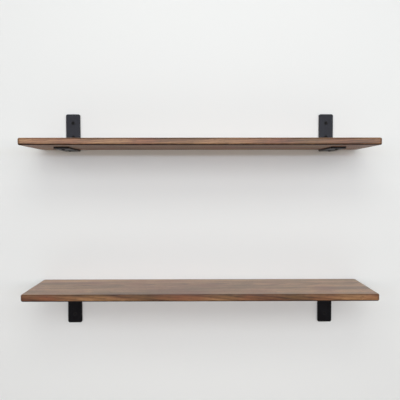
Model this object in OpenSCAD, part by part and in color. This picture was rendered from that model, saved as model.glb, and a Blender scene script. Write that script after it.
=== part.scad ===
// Pair of wall shelves: two wooden boards, each carried by two brackets bent from flat steel bar.
// The upper brackets stand up behind their board and the lower ones hang down below it.
// All four brackets are the same piece, because the upright leg is the one that is screwed to the wall.
//
// Axes: +Z is up, +X runs to the right along the wall, and the wall is the plane y = 0.
// The boards reach out from the wall along -Y.
// Origin: on the wall, in the middle of the four fixings of the lower shelf.

/* [Boards] */
// Length of each board along the wall
board_l = 900; // [600:10:1200]
// Depth of each board from its back edge to its front edge
board_d = 200; // [180:5:300]
// Thickness of each board
board_t = 18; // [18:1:28]
// Radius of the board's four corners, seen from above
board_corner_r = 8; // [6:1:25]
// Radius of the round-over that runs along every edge of the board
board_edge_r = 4; // [1:0.5:5]

/* [Brackets] */
// Width of the flat bar
bar_w = 40; // [30:1:50]
// Thickness of the flat bar
bar_t = 5; // [4:0.5:6]
// Inside radius of the bend
bend_r = 3; // [2:0.5:4]
// Length of the upright leg, measured over the bend
upright_l = 106; // [106:1:150]
// Length of the arm under the board, measured from the wall
arm_l = 140; // [120:1:170]
// Radius of the two corners at each free end of the bar
bar_corner_r = 5; // [2:0.5:10]
// Distance from the end of the board to the middle of the bracket
bracket_inset = 90; // [60:1:200]

/* [Layout] */
// Height from the top of the lower board to the top of the upper board
shelf_pitch = 390; // [300:5:600]
// Gap between the upper board's back edge and the upright legs in front of which it lies
upper_back_gap = 1; // [1:0.5:5]

/* [Wall fixings] */
// Distance from the upright leg's free end to the nearer wall screw
wall_hole_inset = 25; // [12:1:25]
// Height between the two wall screws of a bracket
wall_hole_pitch = 40; // [30:1:40]
// Hole through the upright leg for a wall screw
wall_hole_d = 5.5; // [5.5:0.1:6.5]
// Outside diameter of the thread of the wall screws
wall_screw_d = 5; // [4.5:0.5:5]
// Diameter of their smooth neck, which lies in the bracket
wall_neck_d = 4; // [3:0.5:4]
// Length of the wall screws, over the countersunk head
wall_screw_l = 50; // [40:5:60]
// Diameter of the countersunk heads
wall_head_d = 9.5; // [8.5:0.5:10]

/* [Board screws] */
// Distance from the wall to the back screw of each arm
back_screw_y = 45; // [30:1:60]
// Distance from the wall to the front screw of each arm
front_screw_y = 115; // [90:1:115]
// Hole through the arm for a board screw
arm_hole_d = 4.5; // [4.5:0.1:5.5]
// Shank diameter of the board screws
board_screw_d = 4; // [3:0.5:4]
// Length of the board screws under the head
board_screw_l = 20; // [14:1:20]
// Diameter of the pan heads
pan_head_d = 8; // [7:0.5:9]
// Height of the pan heads
pan_head_h = 2.6; // [2:0.1:3]

/* [Hidden] */
$fn = 64;
CUT = 1;                                     // how far a cutting shape runs past the face it opens
WOOD = [0.46, 0.33, 0.24];
BLACK = [0.11, 0.11, 0.12];
BLACK_SCREW = [0.17, 0.17, 0.18];

bend_over_r = bend_r + bar_t;                // outside radius of the bend
fixing_to_corner = upright_l - wall_hole_inset - wall_hole_pitch / 2;
lower_corner_z = fixing_to_corner;           // the lower board's underside
upper_corner_z = lower_corner_z + shelf_pitch - bar_t;
upper_fixing_z = upper_corner_z + fixing_to_corner;
upper_board_y = -bar_t - upper_back_gap;     // the upper board's back edge

tip_l = 4;                                   // length of a screw's point
tip_d = 0.4;                                 // flat left at the end of the point
recess_w = 1.1;                              // width of a wing of the cross recess
recess_span = 4.4;                           // length over two wings
recess_depth = 1.7;
recess_core_d = 2.2;
recess_core_depth = 2.2;
pan_rim_h = 1.2;                             // height of a pan head at its rim

SHELVES = ["upper", "lower"];
SIDES = ["left", "right"];
WALL_HOLES = ["top", "bottom"];
ARM_HOLES = ["back", "front"];

function board_node(shelf) = str(shelf, "_board");
function bracket_node(shelf, side) = str(shelf, "_", side, "_bracket");
function wall_screw_node(shelf, side, hole) = str(shelf, "_", side, "_", hole, "_wall_screw");
function board_screw_node(shelf, side, hole) = str(shelf, "_", side, "_", hole, "_board_screw");

NODES = [
    for (shelf = SHELVES) each [
        board_node(shelf),
        for (side = SIDES) each [
            bracket_node(shelf, side),
            for (hole = WALL_HOLES) wall_screw_node(shelf, side, hole),
            for (hole = ARM_HOLES) board_screw_node(shelf, side, hole)
        ]
    ]
];
node = "all";

function wanted(name) = node == "all" || node == name;
function bracket_x(side) = (side == "left" ? -1 : 1) * (board_l / 2 - bracket_inset);
function fixing_z(shelf) = shelf == "upper" ? upper_fixing_z : 0;
function wall_hole_z(shelf, hole) = fixing_z(shelf) + (hole == "top" ? 1 : -1) * wall_hole_pitch / 2;
function arm_hole_y(hole) = hole == "back" ? -back_screw_y : -front_screw_y;
function arm_underside_z(shelf) = shelf == "upper" ? upper_corner_z : lower_corner_z - bar_t;
function board_underside_z(shelf) = arm_underside_z(shelf) + bar_t;
function board_back_y(shelf) = shelf == "upper" ? upper_board_y : 0;

// ---- shared shapes ----

// Half of the board's section, from a line inside it to its rounded edge, which lies at x = reach.
module edge_section(reach) {
    flat = reach - board_edge_r;
    square([flat, board_t]);
    translate([0, board_edge_r]) square([reach, board_t - 2 * board_edge_r]);
    for (y = [board_edge_r, board_t - board_edge_r]) translate([flat, y]) circle(r = board_edge_r);
}

// A straight rounded edge of length len along +Y, reaching board_corner_r along +X.
module edge_bar(len) {
    translate([0, len, 0]) rotate([90, 0, 0]) linear_extrude(len) edge_section(board_corner_r);
}

// Flat board centred on x = 0 and y = 0, with rounded corners and a round-over on every edge.
module rounded_slab(l, d) {
    core_l = l - 2 * board_corner_r;
    core_d = d - 2 * board_corner_r;
    translate([-core_l / 2, -core_d / 2, 0]) cube([core_l, core_d, board_t]);
    for (turn = [0, 180]) rotate(turn) {
        translate([core_l / 2, -core_d / 2, 0]) edge_bar(core_d);
        translate([core_l / 2, core_d / 2, 0]) rotate(90) edge_bar(core_l);
        translate([core_l / 2, core_d / 2, 0]) rotate_extrude(angle = 90) edge_section(board_corner_r);
        translate([-core_l / 2, core_d / 2, 0]) rotate(90) rotate_extrude(angle = 90) edge_section(board_corner_r);
    }
}

// One leg of a bracket, lying flat: it starts at y = 0 and ends in two rounded corners at y = len.
module leg(len) {
    linear_extrude(bar_t) {
        translate([-bar_w / 2, 0]) square([bar_w, len - bar_corner_r]);
        translate([-bar_w / 2 + bar_corner_r, 0]) square([bar_w - 2 * bar_corner_r, len]);
        for (side = [-1, 1]) {
            translate([side * (bar_w / 2 - bar_corner_r), len - bar_corner_r]) circle(r = bar_corner_r);
        }
    }
}

// Shank and point of a screw, from z = 0 up to z = len.
module shank(d, len) {
    cylinder(d = d, h = len - tip_l);
    translate([0, 0, len - tip_l]) cylinder(d1 = d, d2 = tip_d, h = tip_l);
}

// Cross recess that a screwdriver fits, cut downwards into +Z from z = 0.
module cross_recess() {
    for (turn = [0, 90]) rotate(turn) {
        translate([-recess_w / 2, -recess_span / 2, -CUT]) cube([recess_w, recess_span, recess_depth + CUT]);
    }
    translate([0, 0, -CUT]) cylinder(d = recess_core_d, h = recess_core_depth + CUT);
}

// Cone of a countersunk head, widest at z = 0 and down to diameter d with sides at 45 degrees.
module countersink(d) {
    cylinder(d1 = wall_head_d, d2 = d, h = (wall_head_d - d) / 2);
}

// ---- pieces ----

// Board, with a pilot hole in its underside for each board screw.
module board(shelf) {
    color(WOOD) difference() {
        translate([0, board_back_y(shelf) - board_d / 2, board_underside_z(shelf)]) rounded_slab(board_l, board_d);
        for (side = SIDES, hole = ARM_HOLES) {
            translate([bracket_x(side), arm_hole_y(hole), arm_underside_z(shelf)]) shank(board_screw_d, board_screw_l);
        }
    }
}

// Bracket standing up: its bend is at the origin, the upright leg lies on the wall and the arm reaches out.
module standing_bracket() {
    color(BLACK) difference() {
        union() {
            translate([0, -bend_over_r, bend_over_r]) rotate([-90, 0, 90])
                rotate_extrude(angle = 90) translate([bend_r, -bar_w / 2]) square([bar_t, bar_w]);
            translate([0, 0, bend_over_r]) rotate([90, 0, 0]) leg(upright_l - bend_over_r);
            translate([0, -bend_over_r, 0]) rotate(180) leg(arm_l - bend_over_r);
        }
        for (side = [-1, 1]) {
            translate([0, -bar_t, fixing_to_corner + side * wall_hole_pitch / 2]) rotate([-90, 0, 0]) {
                countersink(wall_hole_d);
                cylinder(d = wall_hole_d, h = bar_t + CUT);
            }
        }
        for (hole = ARM_HOLES) {
            translate([0, arm_hole_y(hole), -CUT]) cylinder(d = arm_hole_d, h = bar_t + 2 * CUT);
        }
    }
}

// Bracket of the named shelf: the lower shelf uses it upside down.
module bracket(shelf, side) {
    if (shelf == "upper") {
        translate([bracket_x(side), 0, upper_corner_z]) standing_bracket();
    } else {
        translate([bracket_x(side), 0, lower_corner_z]) mirror([0, 0, 1]) standing_bracket();
    }
}

// Countersunk screw through the upright leg: the neck lies in the leg and the thread stands out behind it.
module wall_screw(shelf, side, hole) {
    translate([bracket_x(side), -bar_t, wall_hole_z(shelf, hole)]) rotate([-90, 0, 0])
        color(BLACK_SCREW) difference() {
            union() {
                countersink(wall_neck_d);
                cylinder(d = wall_neck_d, h = bar_t);
                translate([0, 0, bar_t]) shank(wall_screw_d, wall_screw_l - bar_t);
            }
            cross_recess();
        }
}

// Pan-headed screw up through the arm into the board.
module board_screw(shelf, side, hole) {
    dome_h = pan_head_h - pan_rim_h;
    dome_r = (pow(pan_head_d / 2, 2) + pow(dome_h, 2)) / (2 * dome_h);
    translate([bracket_x(side), arm_hole_y(hole), arm_underside_z(shelf)])
        color(BLACK_SCREW) difference() {
            union() {
                shank(board_screw_d, board_screw_l);
                intersection() {
                    translate([0, 0, -pan_head_h]) cylinder(d = pan_head_d, h = pan_head_h);
                    translate([0, 0, dome_r - pan_head_h]) sphere(r = dome_r);
                }
            }
            translate([0, 0, -pan_head_h]) cross_recess();
        }
}

for (shelf = SHELVES) {
    if (wanted(board_node(shelf))) board(shelf);
    for (side = SIDES) {
        if (wanted(bracket_node(shelf, side))) bracket(shelf, side);
        for (hole = WALL_HOLES) {
            if (wanted(wall_screw_node(shelf, side, hole))) wall_screw(shelf, side, hole);
        }
        for (hole = ARM_HOLES) {
            if (wanted(board_screw_node(shelf, side, hole))) board_screw(shelf, side, hole);
        }
    }
}
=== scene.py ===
# %% [markdown]
# # A pair of wall shelves on brackets bent from flat bar
#
# The object is two stained wooden boards, one above the other. Each lies on two brackets, and a bracket is
# one piece of flat steel bar, bent square, with its upright leg screwed to the wall. The upper brackets
# stand up behind their board, and the lower ones hang down below it.
#
# The sizes are settled in the CAD model, which is loaded first and never moved. This lesson builds a finer
# surface for every piece inside the box that the CAD piece fills, and gives it a finish. Everything is in
# metres: +X runs to the right along the wall, +Z is up, the wall is the plane y = 0 and the boards reach
# out along -Y.

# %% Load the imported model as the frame
import math

import bmesh
import bpy
import numpy as np
from mathutils import Euler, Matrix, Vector
from mathutils.geometry import delaunay_2d_cdt


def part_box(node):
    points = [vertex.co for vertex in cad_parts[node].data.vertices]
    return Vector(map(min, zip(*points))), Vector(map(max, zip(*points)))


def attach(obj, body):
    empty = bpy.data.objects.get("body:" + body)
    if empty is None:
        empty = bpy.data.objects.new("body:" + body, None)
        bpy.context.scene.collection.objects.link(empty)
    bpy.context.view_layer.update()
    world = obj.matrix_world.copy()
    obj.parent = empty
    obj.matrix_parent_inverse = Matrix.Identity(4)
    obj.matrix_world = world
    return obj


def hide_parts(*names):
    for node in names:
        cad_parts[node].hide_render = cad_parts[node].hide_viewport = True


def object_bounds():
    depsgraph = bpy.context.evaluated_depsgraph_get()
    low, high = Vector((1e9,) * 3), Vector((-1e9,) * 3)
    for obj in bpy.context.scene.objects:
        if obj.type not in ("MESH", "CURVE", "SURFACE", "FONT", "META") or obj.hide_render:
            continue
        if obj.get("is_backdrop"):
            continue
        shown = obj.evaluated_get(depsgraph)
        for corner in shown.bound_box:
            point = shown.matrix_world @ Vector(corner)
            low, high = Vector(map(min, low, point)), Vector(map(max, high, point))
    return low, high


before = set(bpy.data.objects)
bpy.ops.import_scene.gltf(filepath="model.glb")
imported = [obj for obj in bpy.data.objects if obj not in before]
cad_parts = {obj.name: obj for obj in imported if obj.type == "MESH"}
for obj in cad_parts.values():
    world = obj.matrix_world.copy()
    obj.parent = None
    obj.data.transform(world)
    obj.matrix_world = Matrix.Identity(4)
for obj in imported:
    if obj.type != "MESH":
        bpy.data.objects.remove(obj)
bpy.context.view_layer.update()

MM = 0.001
SHELVES = ("upper", "lower")
SIDES = ("left", "right")

# %% [markdown]
# ## From arrays to a mesh
#
# Every piece below is a surface over a grid of two numbers, such as the way round an outline and the way
# over its edge. numpy works out all its points at once, and the quads between neighbours follow from the
# grid. Where a grid closes on itself or shrinks to a point, its points are merged, so that the mesh is
# closed like the real thing.
#
# The normals are our own: each point takes the normals of its faces, weighted by their areas. A wide face
# then stays flat right up to its rounded edge, and only the edge catches the light as a line.

# %% Grids of quads, and meshes from them
WELD = 1e-6
ARC_STEPS = 8


def grid_quads(rows, columns):
    """Quads between neighbours of a grid whose columns run round and close. Row i, column j is point
    i * columns + j."""
    i, j = np.meshgrid(np.arange(rows - 1), np.arange(columns), indexing="ij")
    here, beside = i * columns + j, i * columns + (j + 1) % columns
    return np.stack([here, beside, beside + columns, here + columns], axis=-1).reshape(-1, 4)


def make_piece(name, points, faces, edge):
    """A closed mesh object. Points at one place are merged, faces are turned outwards, and the normal of
    a point is the sum of area times normal over its faces. edge, from 0 to 1, says how near a point is to
    an edge that fingers and tools can reach."""
    mesh = bpy.data.meshes.new(name)
    mesh.from_pydata(points.reshape(-1, 3).tolist(), [], faces)
    mesh.attributes.new("edge", "FLOAT", "POINT").data.foreach_set("value", edge.astype(np.float32).ravel())
    shape = bmesh.new()
    shape.from_mesh(mesh)
    bmesh.ops.remove_doubles(shape, verts=shape.verts, dist=WELD)
    bmesh.ops.recalc_face_normals(shape, faces=shape.faces)
    shape.to_mesh(mesh)
    shape.free()
    mesh.shade_smooth()
    mesh.normals_split_custom_set_from_vertices(area_weighted_normals(mesh))
    piece = bpy.data.objects.new(name, mesh)
    bpy.context.scene.collection.objects.link(piece)
    return piece


def area_weighted_normals(mesh):
    """For each point, the sum of area times normal over the faces round it, made one long."""
    faces, corners = len(mesh.polygons), len(mesh.loops)
    normal, area, sides = np.empty(faces * 3), np.empty(faces), np.empty(faces, int)
    point = np.empty(corners, int)
    mesh.polygons.foreach_get("normal", normal)
    mesh.polygons.foreach_get("area", area)
    mesh.polygons.foreach_get("loop_total", sides)
    mesh.loops.foreach_get("vertex_index", point)
    weighted = np.repeat(normal.reshape(-1, 3) * area[:, None], sides, axis=0)
    total = np.zeros((len(mesh.vertices), 3))
    np.add.at(total, point, weighted)
    return total / np.maximum(np.linalg.norm(total, axis=1, keepdims=True), 1e-20)


def finish_piece(piece, node, material):
    """The piece rides with the one body, stands for its CAD node, and wears its finish."""
    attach(piece, "root")
    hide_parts(node)
    piece.data.materials.append(material)


def rounded_loop(half_u, half_v, radius, cuts_u, cuts_v):
    """Way round a rectangle with rounded corners, anticlockwise, as corner-arc centres c and outward
    directions d. A point at inset e is c + (radius - e) * d. The straight sides are cut at cuts_u and
    cuts_v, which lie between the arcs."""
    flat_u, flat_v = half_u - radius, half_v - radius
    turn = np.linspace(0, np.pi / 2, ARC_STEPS + 1)
    centres, directions = [], []
    corners = [(1, 1), (-1, 1), (-1, -1), (1, -1)]
    sides = [
        np.stack([cuts_u[::-1], np.full(len(cuts_u), flat_v)], axis=1),
        np.stack([np.full(len(cuts_v), -flat_u), cuts_v[::-1]], axis=1),
        np.stack([cuts_u, np.full(len(cuts_u), -flat_v)], axis=1),
        np.stack([np.full(len(cuts_v), flat_u), cuts_v], axis=1),
    ]
    for quarter, (corner, side) in enumerate(zip(corners, sides)):
        angle = turn + quarter * np.pi / 2
        angle = np.concatenate([angle, np.full(len(side), angle[-1])])
        arc = np.tile([corner[0] * flat_u, corner[1] * flat_v], (len(turn), 1))
        centres.append(np.concatenate([arc, side]))
        directions.append(np.stack([np.cos(angle), np.sin(angle)], axis=1))
    return np.concatenate(centres), np.concatenate(directions)


print("mesh helpers ready")

# %% [markdown]
# ## Shared finishes
#
# Three effects turn up in more than one finish, so each is a node group that is built once:
#
# - **Fine texture** is small-scale relief: orange peel in powder coat, fibres in wood, crystals in
#   phosphate. The same noise serves them all, with its own stretch along the three axes.
# - **Edge wear and shade** changes colour and roughness along edges, where handling rubs a finish thin and
#   where stain gathers; on the boards it also lays painted shade on the lower edges, which face down. It
#   reads the
#   `edge` attribute and breaks it up with noise, because wear is never an even line. Its output Kept says
#   how much of the finish is still as new.
# - **Settled dust** lies on faces that look up. It is a thin pale film, so it mostly lightens dark colours
#   and takes away some gloss.

# %% Node helpers
def add_node(tree, kind, feeds=None, **settings):
    """A new node with its settings. feeds maps an input to a value or to the socket that feeds it."""
    made = tree.nodes.new("ShaderNode" + kind)
    for key, value in settings.items():
        setattr(made, key, value)
    for key, source in (feeds or {}).items():
        if isinstance(source, bpy.types.NodeSocket):
            tree.links.new(source, made.inputs[key])
        else:
            made.inputs[key].default_value = source
    return made


def math_node(tree, operation, *sources, clamp=False):
    """One Math node. Returns its output socket."""
    return add_node(tree, "Math", dict(enumerate(sources)), operation=operation, use_clamp=clamp).outputs[0]


def vector_node(tree, operation, *sources):
    """One Vector Math node. Returns its vector output."""
    return add_node(tree, "VectorMath", dict(enumerate(sources)), operation=operation).outputs[0]


def noise(tree, place, stretch, detail=2.0, roughness=0.5):
    """Noise whose features are 1 / stretch long on each axis. Returns the node, whose outputs are near 0.5
    on average."""
    scaled = vector_node(tree, "MULTIPLY", place, stretch)
    feeds = {"Vector": scaled, "Scale": 1.0, "Detail": detail, "Roughness": roughness}
    return add_node(tree, "TexNoise", feeds)


def blend(tree, amount, first, second):
    """Colour between first and second. Returns its output socket."""
    feeds = {0: amount, 6: first, 7: second}
    return add_node(tree, "Mix", feeds, data_type="RGBA").outputs[2]


def ramp(tree, value, *stops):
    """A value or colour that follows stops of (position, grey or colour)."""
    made = add_node(tree, "ValToRGB", {0: value})
    keys = made.color_ramp.elements
    while len(keys) < len(stops):
        keys.new(1.0)
    for key, (place, colour) in zip(keys, stops):
        key.position = place
        key.color = (*colour, 1) if isinstance(colour, tuple) else (colour, colour, colour, 1)
    return made.outputs[0]


def new_group(name, inputs, outputs):
    """An empty shader node group with named sockets, and its two end nodes."""
    group = bpy.data.node_groups.new(name, "ShaderNodeTree")
    for label, kind, value in inputs:
        socket = group.interface.new_socket(label, in_out="INPUT", socket_type="NodeSocket" + kind)
        if value is not None:
            socket.default_value = value
    for label, kind in outputs:
        group.interface.new_socket(label, in_out="OUTPUT", socket_type="NodeSocket" + kind)
    return group, group.nodes.new("NodeGroupInput"), group.nodes.new("NodeGroupOutput")


def use_group(tree, group, **feeds):
    """Places a group in a tree. Underscores in the names of feeds stand for spaces."""
    made = add_node(tree, "Group", None, node_tree=group)
    for key, source in feeds.items():
        socket = made.inputs[key.replace("_", " ")]
        if isinstance(source, bpy.types.NodeSocket):
            tree.links.new(source, socket)
        else:
            socket.default_value = source
    return made


print("node helpers ready")

# %% Fine texture
fine_texture, start, end = new_group(
    "fine texture",
    [
        ("Place", "Vector", None),
        ("Stretch", "Vector", (1000.0, 1000.0, 1000.0)),
        ("Coarseness", "Float", 0.5),
    ],
    [("Height", "Float")],
)
small = noise(fine_texture, start.outputs["Place"], start.outputs["Stretch"], detail=3.0)
fine_texture.links.new(start.outputs["Coarseness"], small.inputs["Roughness"])
fine_texture.links.new(small.outputs["Fac"], end.inputs["Height"])
print("group:", fine_texture.name)

# %% Edge wear
edge_wear_and_shade, start, end = new_group(
    "edge wear and shade",
    [
        ("Place", "Vector", None),
        ("Colour", "Color", (0.5, 0.5, 0.5, 1)),
        ("Roughness", "Float", 0.4),
        ("Worn colour", "Color", (0.5, 0.5, 0.5, 1)),
        ("Worn roughness", "Float", 0.3),
        ("Amount", "Float", 0.5),
    ],
    [("Colour", "Color"), ("Roughness", "Float"), ("Kept", "Float")],
)
near_edge = add_node(edge_wear_and_shade, "Attribute", attribute_name="edge").outputs["Fac"]
patches = noise(edge_wear_and_shade, start.outputs["Place"], (90.0, 90.0, 90.0), detail=4.0).outputs["Fac"]
broken = ramp(edge_wear_and_shade, patches, (0.34, 0.65), (0.66, 1.0))
worn_or_shaded = math_node(edge_wear_and_shade, "MULTIPLY", near_edge, broken)
worn_or_shaded = math_node(edge_wear_and_shade, "MULTIPLY", worn_or_shaded, start.outputs["Amount"], clamp=True)
colour = blend(edge_wear_and_shade, worn_or_shaded, start.outputs["Colour"], start.outputs["Worn colour"])
gap = math_node(edge_wear_and_shade, "SUBTRACT", start.outputs["Worn roughness"], start.outputs["Roughness"])
rough = math_node(edge_wear_and_shade, "MULTIPLY_ADD", worn_or_shaded, gap, start.outputs["Roughness"])
edge_wear_and_shade.links.new(colour, end.inputs["Colour"])
edge_wear_and_shade.links.new(rough, end.inputs["Roughness"])
edge_wear_and_shade.links.new(math_node(edge_wear_and_shade, "SUBTRACT", 1.0, worn_or_shaded), end.inputs["Kept"])
print("group:", edge_wear_and_shade.name)

# %% Settled dust
settled_dust, start, end = new_group(
    "settled dust",
    [
        ("Place", "Vector", None),
        ("Colour", "Color", (0.5, 0.5, 0.5, 1)),
        ("Roughness", "Float", 0.4),
        ("Amount", "Float", 0.1),
    ],
    [("Colour", "Color"), ("Roughness", "Float")],
)
DUST = (0.5, 0.48, 0.45, 1)
DUST_ROUGHNESS = 0.8
facing = add_node(settled_dust, "NewGeometry").outputs["Normal"]
upward = add_node(settled_dust, "SeparateXYZ", {0: facing}).outputs["Z"]
upward = math_node(settled_dust, "POWER", math_node(settled_dust, "MAXIMUM", upward, 0.0), 4.0)
drifts = noise(settled_dust, start.outputs["Place"], (18.0, 30.0, 30.0), detail=5.0).outputs["Fac"]
film = math_node(settled_dust, "MULTIPLY", upward, ramp(settled_dust, drifts, (0.3, 0.4), (0.7, 1.0)))
film = math_node(settled_dust, "MULTIPLY", film, start.outputs["Amount"], clamp=True)
colour = blend(settled_dust, film, start.outputs["Colour"], DUST)
gap = math_node(settled_dust, "SUBTRACT", DUST_ROUGHNESS, start.outputs["Roughness"])
rough = math_node(settled_dust, "MULTIPLY_ADD", film, gap, start.outputs["Roughness"])
settled_dust.links.new(colour, end.inputs["Colour"])
settled_dust.links.new(rough, end.inputs["Roughness"])
print("group:", settled_dust.name)

# %% [markdown]
# ## Stained wood
#
# A board is cut out of a trunk, so its grain is a slice through nested cylinders, the growth rings. A
# pattern painted on each face would not meet at the edges. Instead the rings are worked out in space, as
# the distance from the trunk's core, so that the same rings show as arches and lines on the face, as
# long streaks on the edge and as arcs on the end.
#
# The core of this trunk lies a few centimetres below the board and runs almost along it. Slow noise bends
# the rings as a tree grows, and fast noise, stretched along the grain, gives the fibres and the pores.
#
# Stain darkens the late wood, the pores and most of all the end grain, which drinks it. Faces that look up
# are painted lighter, as painted light from above. Stain gathers a little along the eased edges, and the
# lower edges, which face down, are darkened further as painted shade. A satin lacquer closes the surface,
# with a thinner coat below, where nobody looks.

# %% Growth rings
NOISE_MIDDLE = (0.5, 0.5, 0.5)
SHIVER = (0, 2.2 * MM, 2.2 * MM)

growth_rings, start, end = new_group(
    "growth rings",
    [("Place", "Vector", None), ("Ring width", "Float", 0.0045), ("Bend", "Float", 0.016)],
    [("Late wood", "Float"), ("Fibre", "Float"), ("Pores", "Float"), ("Band", "Float"), ("Hue", "Float")],
)
tree = growth_rings
place = start.outputs["Place"]
slow = noise(tree, place, (2.2, 9.0, 9.0), detail=2.0).outputs["Color"]
slow = vector_node(tree, "SUBTRACT", slow, NOISE_MIDDLE)
reach = add_node(tree, "VectorMath", {0: slow, "Scale": start.outputs["Bend"]}, operation="SCALE")
quick = noise(tree, place, (14.0, 70.0, 70.0), detail=3.0).outputs["Color"]
quick = vector_node(tree, "MULTIPLY", vector_node(tree, "SUBTRACT", quick, NOISE_MIDDLE), SHIVER)
bent_place = vector_node(tree, "ADD", vector_node(tree, "ADD", place, reach.outputs[0]), quick)
core = vector_node(tree, "MULTIPLY", bent_place, (0.0, 1.0, 1.0))
from_core = add_node(tree, "VectorMath", {0: core}, operation="LENGTH").outputs["Value"]
years = math_node(tree, "DIVIDE", from_core, start.outputs["Ring width"])
season = math_node(tree, "FRACT", years)
late = ramp(tree, season, (0.0, 0.75), (0.1, 0.12), (0.5, 0.2), (0.8, 0.6), (0.95, 1.0), (1.0, 0.8))
fibre = use_group(tree, fine_texture, Place=bent_place, Stretch=(22.0, 620.0, 620.0), Coarseness=0.6)
dashes = noise(tree, bent_place, (70.0, 1500.0, 1500.0), detail=1.0).outputs["Fac"]
pores = ramp(tree, dashes, (0.6, 0.0), (0.68, 1.0))
band = noise(tree, bent_place, (3.0, 34.0, 34.0), detail=3.0).outputs["Fac"]
hue = noise(tree, place, (9.0, 16.0, 16.0), detail=2.0).outputs["Fac"]
layers = {"Late wood": late, "Fibre": fibre.outputs[0], "Pores": pores, "Band": band, "Hue": hue}
for label, source in layers.items():
    tree.links.new(source, end.inputs[label])
print("group:", growth_rings.name)

# %% The stained boards' finish
STAIN_DARK = (0.050, 0.021, 0.009)
STAIN_MIDDLE = (0.176, 0.078, 0.031)
STAIN_LIGHT = (0.350, 0.178, 0.078)
STAIN_PALE = (0.500, 0.275, 0.125)
STAIN_RED = (0.230, 0.070, 0.032, 1)
STAIN_OCHRE = (0.180, 0.096, 0.033, 1)
STAIN_END = (0.055, 0.024, 0.011, 1)
# Stain pooled along the eased edges, and painted shade on the lower edges, which face down.
STAIN_POOLED_AND_SHADE = (0.018, 0.008, 0.005, 1)
TONE_BAND, TONE_LATE, TONE_FIBRE, TONE_SHIFT = 1.55, -0.26, 0.6, -0.48
# Painted light: how much lighter faces that look up are made, as if lit from above.
TOP_PAINTED_LIGHT = 0.20
END_GRAIN_STAIN = 0.85
PORE_STAIN = 0.7
POOLING = 0.4
WOOD_ROUGHNESS = 0.5
WOOD_RELIEF = 0.12 * MM
WOOD_DUST = 0.03
LACQUER_WEIGHT = 0.7
LACQUER_BELOW = 0.15
LACQUER_ROUGHNESS = 0.36


def new_material(name):
    """A material with a Principled shader. Returns it, its tree, the shader and the Object coordinates."""
    material = bpy.data.materials.new(name)
    material.use_nodes = True
    tree = material.node_tree
    return material, tree, tree.nodes["Principled BSDF"], add_node(tree, "TexCoord").outputs["Object"]


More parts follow.
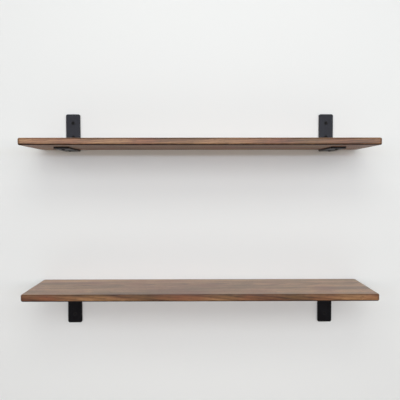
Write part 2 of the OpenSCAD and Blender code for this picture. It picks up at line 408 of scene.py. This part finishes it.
def stained_wood(name, core_place, core_turn):
    """Walnut stain under satin lacquer. core_place and core_turn say where the trunk's core runs. The tone
    of the stain is a weighted sum of the wide bands, the late wood and the fibres, with painted light added
    on faces that look up. Painted shade darkens the lower eased edges."""
    material, tree, shader, place = new_material(name)
    turned = add_node(tree, "Mapping", {0: place, 1: core_place, 2: core_turn}).outputs[0]
    rings = use_group(tree, growth_rings, Place=turned)
    tone = math_node(tree, "MULTIPLY_ADD", rings.outputs["Band"], TONE_BAND, TONE_SHIFT)
    tone = math_node(tree, "MULTIPLY_ADD", rings.outputs["Late wood"], TONE_LATE, tone)
    tone = math_node(tree, "MULTIPLY_ADD", rings.outputs["Fibre"], TONE_FIBRE, tone)
    facing = add_node(tree, "SeparateXYZ", {0: add_node(tree, "NewGeometry").outputs["Normal"]})
    # Painted light: faces that look up are made lighter, standing in for light from above.
    painted_top_light = ramp(tree, facing.outputs["Z"], (0.7, 0.0), (0.98, 1.0))
    tone = math_node(tree, "MULTIPLY_ADD", painted_top_light, TOP_PAINTED_LIGHT, tone)
    stops = ((0.2, STAIN_DARK), (0.44, STAIN_MIDDLE), (0.72, STAIN_LIGHT), (1.0, STAIN_PALE))
    colour = ramp(tree, tone, *stops)
    redness = ramp(tree, rings.outputs["Hue"], (0.46, 0.0), (0.7, 0.6))
    colour = blend(tree, redness, colour, STAIN_RED)
    yellowness = ramp(tree, rings.outputs["Hue"], (0.3, 0.5), (0.5, 0.0))
    colour = blend(tree, yellowness, colour, STAIN_OCHRE)
    end_grain = math_node(tree, "POWER", math_node(tree, "ABSOLUTE", facing.outputs["X"]), 1.6)
    # Painted shade: the eased edges that face down are darkened most; POOLING is the even share of pooled
    # stain along every edge.
    downward = ramp(tree, math_node(tree, "MULTIPLY", facing.outputs["Z"], -1.0), (0.05, 0.0), (0.6, 1.0))
    pooled_and_shaded = math_node(tree, "ADD", downward, POOLING)
    colour = blend(tree, math_node(tree, "MULTIPLY", end_grain, END_GRAIN_STAIN), colour, STAIN_END)
    in_pores = math_node(tree, "MULTIPLY", rings.outputs["Pores"], PORE_STAIN)
    colour = blend(tree, in_pores, colour, (*STAIN_DARK, 1))
    rough = math_node(tree, "MULTIPLY_ADD", rings.outputs["Fibre"], 0.16, WOOD_ROUGHNESS - 0.08)
    rough = math_node(tree, "MULTIPLY_ADD", rings.outputs["Pores"], 0.12, rough)
    rubbed = use_group(
        tree, edge_wear_and_shade, Place=place, Colour=colour, Roughness=rough,
        Worn_colour=STAIN_POOLED_AND_SHADE, Worn_roughness=0.5, Amount=pooled_and_shaded,
    )
    dusty = use_group(
        tree, settled_dust, Place=place, Colour=rubbed.outputs["Colour"],
        Roughness=rubbed.outputs["Roughness"], Amount=WOOD_DUST,
    )
    tree.links.new(dusty.outputs["Colour"], shader.inputs["Base Color"])
    tree.links.new(dusty.outputs["Roughness"], shader.inputs["Roughness"])
    relief = math_node(tree, "MULTIPLY_ADD", rings.outputs["Pores"], -0.8, rings.outputs["Fibre"])
    relief = math_node(tree, "MULTIPLY_ADD", rings.outputs["Late wood"], 0.35, relief)
    bump = add_node(tree, "Bump", {"Strength": 0.35, "Distance": WOOD_RELIEF, "Height": relief})
    tree.links.new(bump.outputs["Normal"], shader.inputs["Normal"])
    coats = math_node(tree, "MULTIPLY_ADD", downward, LACQUER_BELOW - LACQUER_WEIGHT, LACQUER_WEIGHT)
    lacquer = math_node(tree, "MULTIPLY", rubbed.outputs["Kept"], coats)
    tree.links.new(lacquer, shader.inputs["Coat Weight"])
    shader.inputs["Coat Roughness"].default_value = LACQUER_ROUGHNESS
    shader.inputs["Coat IOR"].default_value = 1.5
    shader.inputs["Specular IOR Level"].default_value = 0.12
    return material


wood = {
    "upper": stained_wood("stained wood, upper board", (0.31, 0.14, -0.375), (0.0, 0.035, 0.02)),
    "lower": stained_wood("stained wood, lower board", (-0.12, 0.075, 0.0), (0.0, -0.045, -0.03)),
}
print("finishes:", [m.name for m in wood.values()])

# %% [markdown]
# ## Black powder coat and black screws
#
# The brackets are powder coated: dry paint is baked until it flows, and it sets with a fine orange peel and
# a satin gloss with a bluish sheen. It is hardly ever pure black. Where it is rubbed along an edge it turns
# a little lighter and shinier before the steel shows, and a face that looks down is a little drier.
#
# The screws are phosphated, which is a crystalline skin on the steel. It is a duller black than the
# coat, and a dark grey on the crests of the thread and the rims of the head, where it is rubbed.

# %% The powder coat
COAT_BLACK = (0.0022, 0.0023, 0.0030)
COAT_BLACK_LIGHT = (0.0040, 0.0042, 0.0054)
COAT_RUBBED = (0.018, 0.018, 0.020, 1)
COAT_SHEEN = (0.88, 0.88, 1.0, 1)
COAT_ROUGHNESS = 0.32
COAT_CLOUDS = 0.12
COAT_WEAR = 0.6
COAT_DUST = 0.05
DRY_BELOW = 0.16
PEEL_DEPTH = 0.12 * MM


def powder_coat():
    """Satin black powder coat with orange peel."""
    material, tree, shader, place = new_material("black powder coat")
    cloudy = noise(tree, place, (45.0, 45.0, 45.0), detail=3.0).outputs["Fac"]
    colour = ramp(tree, cloudy, (0.35, COAT_BLACK), (0.7, COAT_BLACK_LIGHT))
    rough = math_node(tree, "MULTIPLY_ADD", cloudy, COAT_CLOUDS, COAT_ROUGHNESS - COAT_CLOUDS / 2)
    facing = add_node(tree, "SeparateXYZ", {0: add_node(tree, "NewGeometry").outputs["Normal"]})
    downward = math_node(tree, "MULTIPLY", facing.outputs["Z"], -1.0)
    downward = ramp(tree, downward, (0.5, 0.0), (0.95, 1.0))
    rough = math_node(tree, "MULTIPLY_ADD", downward, DRY_BELOW, rough)
    rubbed = use_group(
        tree, edge_wear_and_shade, Place=place, Colour=colour, Roughness=rough,
        Worn_colour=COAT_RUBBED, Worn_roughness=0.3, Amount=COAT_WEAR,
    )
    dusty = use_group(
        tree, settled_dust, Place=place, Colour=rubbed.outputs["Colour"],
        Roughness=rubbed.outputs["Roughness"], Amount=COAT_DUST,
    )
    tree.links.new(dusty.outputs["Colour"], shader.inputs["Base Color"])
    tree.links.new(dusty.outputs["Roughness"], shader.inputs["Roughness"])
    peel = use_group(tree, fine_texture, Place=place, Stretch=(900.0, 900.0, 900.0), Coarseness=0.35)
    bump = add_node(tree, "Bump", {"Strength": 0.5, "Distance": PEEL_DEPTH, "Height": peel.outputs[0]})
    tree.links.new(bump.outputs["Normal"], shader.inputs["Normal"])
    shader.inputs["Specular IOR Level"].default_value = 0.2
    shader.inputs["Specular Tint"].default_value = COAT_SHEEN
    return material


coat = powder_coat()
print("finish:", coat.name)

# %% The phosphated screws
PHOSPHATE = (0.0035, 0.0035, 0.004)
PHOSPHATE_LIGHT = (0.009, 0.009, 0.010)
PHOSPHATE_RUBBED = (0.030, 0.030, 0.031, 1)
PHOSPHATE_ROUGHNESS = 0.42
PHOSPHATE_WEAR = 0.5
CRYSTAL_ROUGHNESS = 0.2
CRYSTAL_DEPTH = 0.03 * MM


def black_phosphate():
    """Crystalline black skin on steel, rubbed through on sharp edges."""
    material, tree, shader, place = new_material("black phosphate")
    crystals = use_group(tree, fine_texture, Place=place, Stretch=(2600.0, 2600.0, 2600.0), Coarseness=0.7)
    colour = ramp(tree, crystals.outputs[0], (0.35, PHOSPHATE), (0.7, PHOSPHATE_LIGHT))
    rough = math_node(tree, "MULTIPLY_ADD", crystals.outputs[0], CRYSTAL_ROUGHNESS, PHOSPHATE_ROUGHNESS)
    rubbed = use_group(
        tree, edge_wear_and_shade, Place=place, Colour=colour, Roughness=rough,
        Worn_colour=PHOSPHATE_RUBBED, Worn_roughness=0.3, Amount=PHOSPHATE_WEAR,
    )
    tree.links.new(rubbed.outputs["Colour"], shader.inputs["Base Color"])
    tree.links.new(rubbed.outputs["Roughness"], shader.inputs["Roughness"])
    bump_feeds = {"Strength": 0.4, "Distance": CRYSTAL_DEPTH, "Height": crystals.outputs[0]}
    bump = add_node(tree, "Bump", bump_feeds)
    tree.links.new(bump.outputs["Normal"], shader.inputs["Normal"])
    shader.inputs["Specular IOR Level"].default_value = 0.1
    return material


phosphate = black_phosphate()
print("finish:", phosphate.name)

# %% [markdown]
# ## The boards
#
# A board is sawn, its four corners are rounded on a jig, and then every edge is eased with a sander. A cube
# with a Bevel would do for the shape, but its edges would be perfectly even. Here the board is one surface
# over two numbers: the way round the outline, and the way from the middle of the top over the eased edge
# to the middle of the underside. The radius of the eased edge changes slowly along the way round, as a
# hand-held sander leaves it.

# %% Shape of a board
BOARD_CORNER = 8 * MM
BOARD_EASE = 4 * MM
EASE_WANDER = 0.08
EASE_STEPS = 10
BOARD_FADE = 3 * MM
CUTS_ALONG = 121
CUTS_ACROSS = 25


def sander_waves(count, seed):
    """Slow waves round a closed way, from -1 to 1: a sum of six sines with random phases."""
    draw = np.random.default_rng(seed)
    way = np.linspace(0, 2 * np.pi, count, endpoint=False)
    turns = draw.integers(5, 60, 6)[:, None]
    return np.sin(turns * way + draw.uniform(0, 2 * np.pi, (6, 1))).sum(axis=0) / 6


def board_surface(half, seed):
    """Points and edge values of a board round its own middle. Going round is an outline with arcs at its
    corners. Going over is a quarter circle of radius ease: inset = ease (1 - sin a) and depth =
    ease (1 - cos a), with a from 0 on the face to a right angle on the side. The edge value is 1 halfway
    over the eased edge, and it has fallen to 0 at BOARD_FADE away from it."""
    cuts_x = np.linspace(-half[0] + 2 * BOARD_CORNER, half[0] - 2 * BOARD_CORNER, CUTS_ALONG)
    cuts_y = np.linspace(-half[1] + 2 * BOARD_CORNER, half[1] - 2 * BOARD_CORNER, CUTS_ACROSS)
    centre, out = rounded_loop(half[0], half[1], BOARD_CORNER, cuts_x, cuts_y)
    ease = BOARD_EASE * (1 + EASE_WANDER * sander_waves(len(centre), seed))
    a = np.linspace(0, np.pi / 2, EASE_STEPS + 1)[:, None]
    inset = np.concatenate([[ease + BOARD_FADE], ease * (1 - np.sin(a)), [0 * ease]])
    depth = np.concatenate([[0 * ease], ease * (1 - np.cos(a)), [ease + BOARD_FADE]])
    edge = np.concatenate([[0], 0.35 + 0.65 * np.sin(2 * a[:, 0]), [0]])
    ring = centre + (BOARD_CORNER - inset)[..., None] * out
    spine_x = np.clip(centre[:, 0] + BOARD_CORNER * out[:, 0], half[1] - half[0], half[0] - half[1])
    spine = np.stack([spine_x, 0 * spine_x], axis=1)
    plan = np.concatenate([spine[None], ring, ring[::-1], spine[None]])
    flat = 0 * ease + half[2]
    height = np.concatenate([[flat], half[2] - depth, (depth - half[2])[::-1], [-flat]])
    edge = np.concatenate([[0], edge, edge[::-1], [0]])
    return np.concatenate([plan, height[..., None]], axis=-1), np.repeat(edge[:, None], len(centre), axis=1)


boards = {}
for number, shelf in enumerate(SHELVES):
    node = f"{shelf}_board"
    low, high = (np.array(corner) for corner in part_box(node))
    points, edge = board_surface((high - low) / 2, seed=11 + number)
    faces = grid_quads(*points.shape[:2]).tolist()
    boards[shelf] = make_piece(f"{shelf}_wooden_board", points + (low + high) / 2, faces, edge)
    finish_piece(boards[shelf], node, wood[shelf])
    print(boards[shelf].name, len(boards[shelf].data.polygons), "faces")

# %% [markdown]
# ## The brackets
#
# A bracket starts as a straight blank of flat bar: its ends are rounded, its holes are drilled and the
# wall holes countersunk, and only then is it bent over a bar. It is built in the same order. The blank is
# drawn flat, with x across the bar, s along it and h through its thickness. Its two faces are filled by a
# Delaunay triangulation between the outline and the holes, and narrow rows of points are added where the
# bend will come. A last step carries every point through the bend:
#
# y = (R - h) sin t - (arm - s), and up = R - (R - h) cos t + rise
#
# where R is the outside radius, t the angle turned so far, and rise the length already climbed. On the arm
# t is 0 and on the upright a right angle, and s counts only up to the start of the bend, so one formula
# serves the whole bar.

# %% Sizes of the flat bar
BAR_T = 5 * MM
BEND_OVER = 8 * MM
BAR_CORNER = 5 * MM
BAR_EDGE = 0.6 * MM
WALL_HOLE = 2.75 * MM
SINK = 4.85 * MM
ARM_HOLE = 2.25 * MM
HOLE_EDGE = 0.3 * MM
FADE = 1.5 * MM
BEND_STEPS = 14
RIM_STEPS = 4
HOLE_STEPS = 48

print("flat bar:", BAR_T, "thick, bent over", BEND_OVER)


# %% Shape of a bracket
def ring_of(centre, radius):
    """Points of a circle in the blank's plane."""
    angle = np.linspace(0, 2 * np.pi, HOLE_STEPS, endpoint=False)
    return centre + radius * np.stack([np.cos(angle), np.sin(angle)], axis=1)


def filled_face(outline, rim, holes, rows, height):
    """Triangles between an outline and holes, with a second loop a little way in from each, where the
    edge value has fallen to 0. rows are the places along the bar that are joined straight across."""
    loops = [outline(rim), outline(rim + FADE)]
    for centre, radius in holes:
        loops += [ring_of(centre, radius), ring_of(centre, radius + FADE)]
    flat = np.concatenate(loops)
    firsts = np.cumsum([0] + [len(loop) for loop in loops])
    joins = [
        (first + k, first + (k + 1) % len(loop))
        for first, loop in zip(firsts, loops) for k in range(len(loop))
    ]
    inner = loops[1]
    for row in rows:
        pair = np.flatnonzero(np.isclose(inner[:, 1], row, atol=WELD / 10)) + firsts[1]
        joins.append(tuple(int(k) for k in pair))
    found = delaunay_2d_cdt([Vector(p) for p in flat], joins, [], 0, WELD / 10)
    places, sides, origin = np.array(found[0]), np.array(found[2]), [ids[0] for ids in found[3]]
    middles = places[sides].mean(axis=1)
    keep = np.ones(len(sides), bool)
    for centre, radius in holes:
        keep &= np.linalg.norm(middles - centre, axis=1) > radius
    edge = np.concatenate([np.full(len(loop), 0.5 if k % 2 == 0 else 0.0) for k, loop in enumerate(loops)])
    blank = np.column_stack([places, np.full(len(places), height)])
    return blank, sides[keep], edge[origin]


def bracket_surface(width, arm, upright, wall_holes, arm_holes):
    """Points x, s, h of the blank with its faces and edge values. wall_holes and arm_holes are places s
    along the blank."""
    length = arm + upright - 2 * BEND_OVER + BEND_OVER * np.pi / 2
    bend_start = arm - BEND_OVER
    rows = bend_start + np.linspace(0, BEND_OVER * np.pi / 2, BEND_STEPS + 1)
    cuts_x = np.linspace(-width / 4, width / 4, 3)
    centre, out = rounded_loop(width / 2, length / 2, BAR_CORNER, cuts_x, rows - length / 2)
    centre = centre + np.array([0, length / 2])

    def outline(inset):
        return centre + (BAR_CORNER - inset) * out

    b = np.linspace(0, np.pi / 2, RIM_STEPS + 1)
    over = BAR_EDGE * (1 - np.sin(b))
    up = BAR_EDGE * (1 - np.cos(b))
    inset = np.concatenate([over, over[::-1]])
    height = np.concatenate([up, BAR_T - up[::-1]])
    rim = np.stack([np.column_stack([outline(e), np.full(len(out), h)]) for e, h in zip(inset, height)])
    rim_edge = np.repeat(0.5 + 0.5 * np.sin(2 * np.concatenate([b, b[::-1]]))[:, None], len(out), axis=1)

    sunk = [(WALL_HOLE + HOLE_EDGE, 0), (WALL_HOLE, HOLE_EDGE), (WALL_HOLE, BAR_T - (SINK - WALL_HOLE))]
    sunk += [(SINK - HOLE_EDGE / 2, BAR_T - HOLE_EDGE / 2), (SINK + HOLE_EDGE / 2, BAR_T)]
    plain = [(ARM_HOLE + HOLE_EDGE, 0), (ARM_HOLE, HOLE_EDGE)]
    plain += [(ARM_HOLE, BAR_T - HOLE_EDGE), (ARM_HOLE + HOLE_EDGE, BAR_T)]
    bores = [((0, s), sunk) for s in wall_holes] + [((0, s), plain) for s in arm_holes]

    parts = [(rim.reshape(-1, 3), grid_quads(*rim.shape[:2]), rim_edge.ravel())]
    for place, profile in bores:
        wall = np.stack([np.column_stack([ring_of(place, r), np.full(HOLE_STEPS, h)]) for r, h in profile])
        wall_edge = np.full(wall.shape[:2], 0.5).ravel()
        parts.append((wall.reshape(-1, 3), grid_quads(*wall.shape[:2]), wall_edge))
    for end_of_bore, height in ((0, 0.0), (-1, BAR_T)):
        holes = [(np.array(place), profile[end_of_bore][0]) for place, profile in bores]
        parts.append(filled_face(outline, BAR_EDGE, holes, rows, height))

    points, faces, edge, first = [], [], [], 0
    for part_points, part_faces, part_edge in parts:
        points.append(part_points)
        faces += (part_faces + first).tolist()
        edge.append(part_edge)
        first += len(part_points)
    return np.concatenate(points), faces, np.concatenate(edge)


def bend_bar(blank, arm):
    """The bend. Returns x, distance along Y and height over the corner for points x, s, h of the blank."""
    x, s, h = blank.T
    start = arm - BEND_OVER
    turned = np.clip((s - start) / BEND_OVER, 0, np.pi / 2)
    rise = np.maximum(s - start - BEND_OVER * np.pi / 2, 0)
    y = (BEND_OVER - h) * np.sin(turned) - (arm - np.minimum(s, start))
    up = BEND_OVER - (BEND_OVER - h) * np.cos(turned) + rise
    return np.column_stack([x, y, up])


print("bracket shape ready")

# %% Make the four brackets
for shelf in SHELVES:
    for side in SIDES:
        node = f"{shelf}_{side}_bracket"
        low, high = (np.array(corner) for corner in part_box(node))
        arm, upright = high[1] - low[1], high[2] - low[2]
        way = 1 if shelf == "upper" else -1
        corner_z = low[2] if shelf == "upper" else high[2]
        wall_holes, arm_holes = [], []
        for name in ("top", "bottom"):
            hole = np.mean([tuple(c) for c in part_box(f"{shelf}_{side}_{name}_wall_screw")], axis=0)
            climbed = way * (hole[2] - corner_z)
            wall_holes.append(arm - BEND_OVER + BEND_OVER * np.pi / 2 + climbed - BEND_OVER)
        for name in ("back", "front"):
            hole = np.mean([tuple(c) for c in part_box(f"{shelf}_{side}_{name}_board_screw")], axis=0)
            arm_holes.append(arm + hole[1])
        blank, faces, edge = bracket_surface(high[0] - low[0], arm, upright, wall_holes, arm_holes)
        corner = np.array([(low[0] + high[0]) / 2, 0, corner_z])
        points = bend_bar(blank, arm) * np.array([1, 1, way]) + corner
        piece = make_piece(f"{shelf}_{side}_flat_bar_bracket", points, faces, edge)
        finish_piece(piece, node, coat)
        print(piece.name, len(piece.data.polygons), "faces")

# %% [markdown]
# ## The screws
#
# All screws have a cross recess. Its outline is a cross whose distance from the middle is known for every
# direction, so the recess, the head, the neck and the thread are rings of one surface: the way round the
# axis, and the way from the floor of the recess out over the head and down to the point. The recess
# tapers, as the driver's tip does, because its rings are scaled copies of one cross.
#
# The thread is a helix worked into the radius: r = root + ridge * bump(turns of the helix at this place),
# where the turns are depth / pitch - angle / full turn. It rises out of the neck and runs out at the
# point.

# %% Ways round a screw
CROSS_SPAN = 4.4 * MM
CROSS_WIDTH = 1.1 * MM
RINGS_PER_TURN = 9
wing = math.atan(CROSS_WIDTH / CROSS_SPAN)
eighth = np.concatenate([[0, wing / 2], np.linspace(wing, np.pi / 4, 6)])
quarter = np.concatenate([eighth, (np.pi / 2 - eighth[1:-1])[::-1]])
ROUND = np.concatenate([quarter + k * np.pi / 2 for k in range(4)])


def cross_outline(scale):
    """Distance from the middle to the outline of the cross, for every way round: along a wing it ends at
    half the span, and beside it at half the width."""
    cos, sin = np.abs(np.cos(ROUND)) + 1e-9, np.abs(np.sin(ROUND)) + 1e-9
    along = np.minimum(CROSS_SPAN / 2 / cos, CROSS_WIDTH / 2 / sin)
    across = np.minimum(CROSS_SPAN / 2 / sin, CROSS_WIDTH / 2 / cos)
    return scale * np.maximum(along, across)


def thread_rings(first, last, pitch, root, crest, point_length):
    """Radii and depths of a threaded shank from depth first to last."""
    depth = np.linspace(first, last, int((last - first) / pitch * RINGS_PER_TURN))[:, None]
    turns = depth / pitch - ROUND / (2 * np.pi)
    ridge = (0.5 + 0.5 * np.cos(2 * np.pi * turns)) ** 2.5
    begun = np.clip((depth - first) / pitch, 0, 1)
    left = np.clip((last - depth) / point_length, 0, 1)
    radius = (root + (crest - root) * ridge * begun) * left ** 0.8
    return radius, depth + 0 * radius


def place_rings(rings, head, axis):
    """Points of rings (radius, depth) round an axis that starts at the middle of the head."""
    axis = np.array(axis, float)
    side = np.array([1.0, 0, 0])
    other = np.cross(axis, side)
    radius = np.concatenate([np.atleast_2d(r + 0 * ROUND) for r, _ in rings])
    depth = np.concatenate([np.atleast_2d(d + 0 * ROUND) for _, d in rings])
    spoke = np.cos(ROUND)[:, None] * side + np.sin(ROUND)[:, None] * other
    return head + radius[..., None] * spoke + depth[..., None] * axis


def ring_edges(rings, rubbed):
    """Edge value of every point: 1 on the rings numbered in rubbed, which are the rims of the recess and
    the head, and on the crests of the thread."""
    values = [np.full((1, len(ROUND)), 1.0 if k in rubbed else 0.0) for k in range(len(rings) - 2)]
    radius = rings[-2][0]
    crest = (radius / radius.max()) ** 8
    return np.concatenate([*values, crest, 0 * crest[:1]])


print(len(ROUND), "points round a screw")

# %% Wall screws
HEAD_R = 4.6 * MM
NECK_R = 2.0 * MM
SUNK_BY = 0.2 * MM
RECESS = 2.0 * MM
HEAD_RIM = 0.35 * MM
WALL_THREAD = (2.1 * MM, 1.6 * MM, 2.5 * MM, 5 * MM)
WALL_RUBBED = (3, 5, 6)


def wall_screw_rings(length):
    """Countersunk screw: cross recess, flat head, cone, neck in the bracket, thread and point. A thread is
    given by its pitch, root radius, crest radius and the length of its point."""
    rings = [(0.0, RECESS + 0.3 * MM), (cross_outline(0.5), RECESS), (cross_outline(0.97), 0.12 * MM)]
    rings += [(cross_outline(1.04), 0.0), (2.9 * MM, 0.0), (HEAD_R - 0.25 * MM, 0.0), (HEAD_R, 0.2 * MM)]
    rings += [(HEAD_R, HEAD_RIM), (NECK_R, HEAD_R - NECK_R + HEAD_RIM), (NECK_R, BAR_T)]
    rings.append(thread_rings(BAR_T + 0.1 * MM, length, *WALL_THREAD))
    rings.append((0.0, length))
    return rings


for shelf in SHELVES:
    for side in SIDES:
        for end_name in ("top", "bottom"):
            node = f"{shelf}_{side}_{end_name}_wall_screw"
            low, high = (np.array(corner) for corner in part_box(node))
            rings = wall_screw_rings(high[1] - low[1] - SUNK_BY)
            head = np.array([(low[0] + high[0]) / 2, low[1] + SUNK_BY, (low[2] + high[2]) / 2])
            points = place_rings(rings, head, (0, 1, 0))
            faces = grid_quads(*points.shape[:2]).tolist()
            piece = make_piece(f"{node}_turned", points, faces, ring_edges(rings, WALL_RUBBED))
            finish_piece(piece, node, phosphate)
print(piece.name, len(piece.data.polygons), "faces each")

# %% Board screws
PAN_R = 4.0 * MM
PAN_RIM = 1.2 * MM
PAN_NECK_R = 1.5 * MM
BOARD_THREAD = (1.5 * MM, 1.3 * MM, 2.0 * MM, 4 * MM)
BOARD_RUBBED = (3, 10, 11)


def board_screw_rings(length, head_height):
    """Pan-headed screw: the crown is a quarter ellipse, depth = rise (1 - sqrt(1 - (r / R) squared))."""
    rise = head_height - PAN_RIM

    def crown(radius):
        return rise * (1 - np.sqrt(np.maximum(1 - (radius / PAN_R) ** 2, 0)))

    rings = [(0.0, RECESS), (cross_outline(0.5), RECESS - 0.3 * MM), (cross_outline(0.97), 0.25 * MM)]
    rings.append((cross_outline(1.04), crown(cross_outline(1.04))))
    rings += [(r * PAN_R, crown(r * PAN_R)) for r in (0.62, 0.72, 0.82, 0.9, 0.96, 0.99)]
    rings += [(PAN_R, rise), (PAN_R, head_height - 0.15 * MM), (PAN_R - 0.15 * MM, head_height)]
    rings.append((PAN_NECK_R, head_height))
    rings.append(thread_rings(head_height + 0.1 * MM, length, *BOARD_THREAD))
    rings.append((0.0, length))
    return rings


for shelf in SHELVES:
    for side in SIDES:
        arm_low, arm_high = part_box(f"{shelf}_{side}_bracket")
        arm_underside = arm_low[2] if shelf == "upper" else arm_high[2] - BAR_T
        for end_name in ("back", "front"):
            node = f"{shelf}_{side}_{end_name}_board_screw"
            low, high = (np.array(corner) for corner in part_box(node))
            rings = board_screw_rings(high[2] - low[2], arm_underside - low[2])
            head = np.array([(low[0] + high[0]) / 2, (low[1] + high[1]) / 2, low[2]])
            points = place_rings(rings, head, (0, 0, 1))
            faces = grid_quads(*points.shape[:2]).tolist()
            piece = make_piece(f"{node}_turned", points, faces, ring_edges(rings, BOARD_RUBBED))
            finish_piece(piece, node, phosphate)
print(piece.name, len(piece.data.polygons), "faces each")

# %% [markdown]
# ## The wall and the floor
#
# The shelves hang on a pale painted wall over a pale warm floor. Neither belongs to the object, so both are
# stage. The wall has no back: a ray that meets it from behind passes through, so that the backs of the
# brackets can be looked at. So does a ray of light that has come less than a millimetre, because it
# started on a back that lies on the wall.

# %% Build the stage
WALL_GAP = 0.2 * MM
WALL_SIZE = 9.0
FLOOR_Z = -1.45
WALL_PAINT = (0.848, 0.868, 0.878, 1)
FLOOR_PAINT = (0.74, 0.65, 0.55, 1)
ROLLER_DEPTH = 0.2 * MM
TOUCH = 1 * MM


def flat_sheet(name, corners, material):
    """One rectangle of the stage."""
    mesh = bpy.data.meshes.new(name)
    mesh.from_pydata(corners, [], [(0, 1, 2, 3)])
    mesh.materials.append(material)
    sheet = bpy.data.objects.new(name, mesh)
    bpy.context.scene.collection.objects.link(sheet)
    sheet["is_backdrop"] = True


def paint(name, colour):
    """Matt paint with a faint roller texture."""
    material, tree, shader, place = new_material(name)
    roller = use_group(tree, fine_texture, Place=place, Stretch=(260.0, 260.0, 260.0), Coarseness=0.6)
    bump = add_node(tree, "Bump", {"Strength": 0.25, "Distance": ROLLER_DEPTH, "Height": roller.outputs[0]})
    tree.links.new(bump.outputs["Normal"], shader.inputs["Normal"])
    shader.inputs["Base Color"].default_value = colour
    shader.inputs["Roughness"].default_value = 0.9
    shader.inputs["Specular IOR Level"].default_value = 0.2
    return material


wall_paint = paint("wall paint", WALL_PAINT)
tree = wall_paint.node_tree
from_behind = add_node(tree, "NewGeometry").outputs["Backfacing"]
path = add_node(tree, "LightPath")
touching = math_node(tree, "LESS_THAN", path.outputs["Ray Length"], TOUCH)
indirect = math_node(tree, "SUBTRACT", 1.0, path.outputs["Is Camera Ray"])
touching = math_node(tree, "MULTIPLY", touching, indirect)
see_through = math_node(tree, "MAXIMUM", from_behind, touching)
painted = tree.nodes["Principled BSDF"].outputs[0]
clear = add_node(tree, "BsdfTransparent").outputs[0]
mixed = add_node(tree, "MixShader", {0: see_through, 1: painted, 2: clear})
tree.links.new(mixed.outputs[0], tree.nodes["Material Output"].inputs["Surface"])
half = WALL_SIZE / 2
flat_sheet(
    "wall",
    [(x, WALL_GAP, z) for x, z in ((-half, FLOOR_Z), (half, FLOOR_Z), (half, half), (-half, half))],
    wall_paint,
)
flat_sheet(
    "floor",
    [(x, y, FLOOR_Z) for x, y in ((-half, -half), (half, -half), (half, half), (-half, half))],
    paint("floor paint", FLOOR_PAINT),
)
print("stage: wall and floor")

# %% [markdown]
# ## Light
#
# The room is bright and even. A long cool lamp far in front, a little above the upper shelf, stands for a
# row of windows. A warm one below it, level with the gap between the shelves, stands for the light that
# comes back off the room and reaches the wall right under the boards. The first throws the short firm
# shadow under each board, and a wide panel nearer by and a small high one make it longer and softer. The
# rest comes from all round, mostly from the upper half of the room and off the warm floor.

# %% Lamps and room light
def soft_panel(name, place, target, size, power, colour):
    """A rectangular lamp of size (width, height) at place, turned to target."""
    lamp = bpy.data.lights.new(name, "AREA")
    lamp.shape = "RECTANGLE"
    lamp.size, lamp.size_y = size
    lamp.energy = power
    lamp.color = colour
    holder = bpy.data.objects.new(name, lamp)
    holder.location = place
    holder.rotation_euler = (Vector(target) - Vector(place)).to_track_quat("-Z", "Y").to_euler()
    bpy.context.scene.collection.objects.link(holder)


MIDDLE = (0, 0, 0.5)
STRIP_SIZE = (7.7, 0.2)
soft_panel("far strip", (0.2, -4.5, 0.8), MIDDLE, STRIP_SIZE, 63, (0.76, 0.87, 1.0))
soft_panel("low strip", (0.2, -4.5, 0.25), MIDDLE, STRIP_SIZE, 43, (1.0, 0.88, 0.80))
soft_panel("wide panel", (0.1, -1.6, 0.82), MIDDLE, (2.4, 0.44), 8.3, (0.98, 1.0, 1.0))
soft_panel("top panel", (0.0, -1.5, 1.5), MIDDLE, (1.1, 0.5), 5.7, (1.0, 0.99, 0.91))

world = bpy.data.worlds.new("room")
world.use_nodes = True
tree = world.node_tree
# upness is 0 straight down, 0.5 level and 1 straight up.
direction = add_node(tree, "TexCoord").outputs["Generated"]
upness = add_node(tree, "SeparateXYZ", {0: direction}).outputs["Z"]
upness = math_node(tree, "MULTIPLY_ADD", upness, 0.5, 0.5)
ROOM_LOW = (0.06, 0.05, 0.04)
ROOM_LEVEL = (0.32, 0.30, 0.28)
ROOM_HIGH = (0.65, 0.64, 0.62)
ROOM_TOP = (0.06, 0.06, 0.06)
ROOM_SEEN = (0.62, 0.62, 0.61, 1)
glow = ramp(tree, upness, (0.4, ROOM_LOW), (0.5, ROOM_LEVEL), (0.72, ROOM_HIGH), (0.92, ROOM_TOP))
seen = add_node(tree, "LightPath").outputs["Is Camera Ray"]
glow = blend(tree, seen, glow, ROOM_SEEN)
tree.links.new(glow, tree.nodes["Background"].inputs["Color"])
tree.nodes["Background"].inputs["Strength"].default_value = 1.0
bpy.context.scene.world = world
bpy.context.scene.view_settings.view_transform = "Standard"

# %% [markdown]
# ## Camera
#
# The camera looks almost straight at the wall from a metre and a half away, at a height between the two
# boards, so that the lower board shows its top and the upper one its underside.

# %% Place the camera
CAMERA_PLACE = (-0.0088, -1.4529, 0.3626)
CAMERA_TURN = (90 - 2.168, 0.075, -0.374)
CAMERA_LENS = 45.53

camera = bpy.data.cameras.new("camera")
camera.lens = CAMERA_LENS
camera.sensor_width = 36
viewer = bpy.data.objects.new("camera", camera)
viewer.location = CAMERA_PLACE
viewer.rotation_euler = Euler([math.radians(angle) for angle in CAMERA_TURN])
bpy.context.scene.collection.objects.link(viewer)
bpy.context.scene.camera = viewer
print("camera at", CAMERA_PLACE)

# %% Print the visual box
low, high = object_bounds()
print("visual box:", tuple(round(v, 4) for v in (*low, *high)))
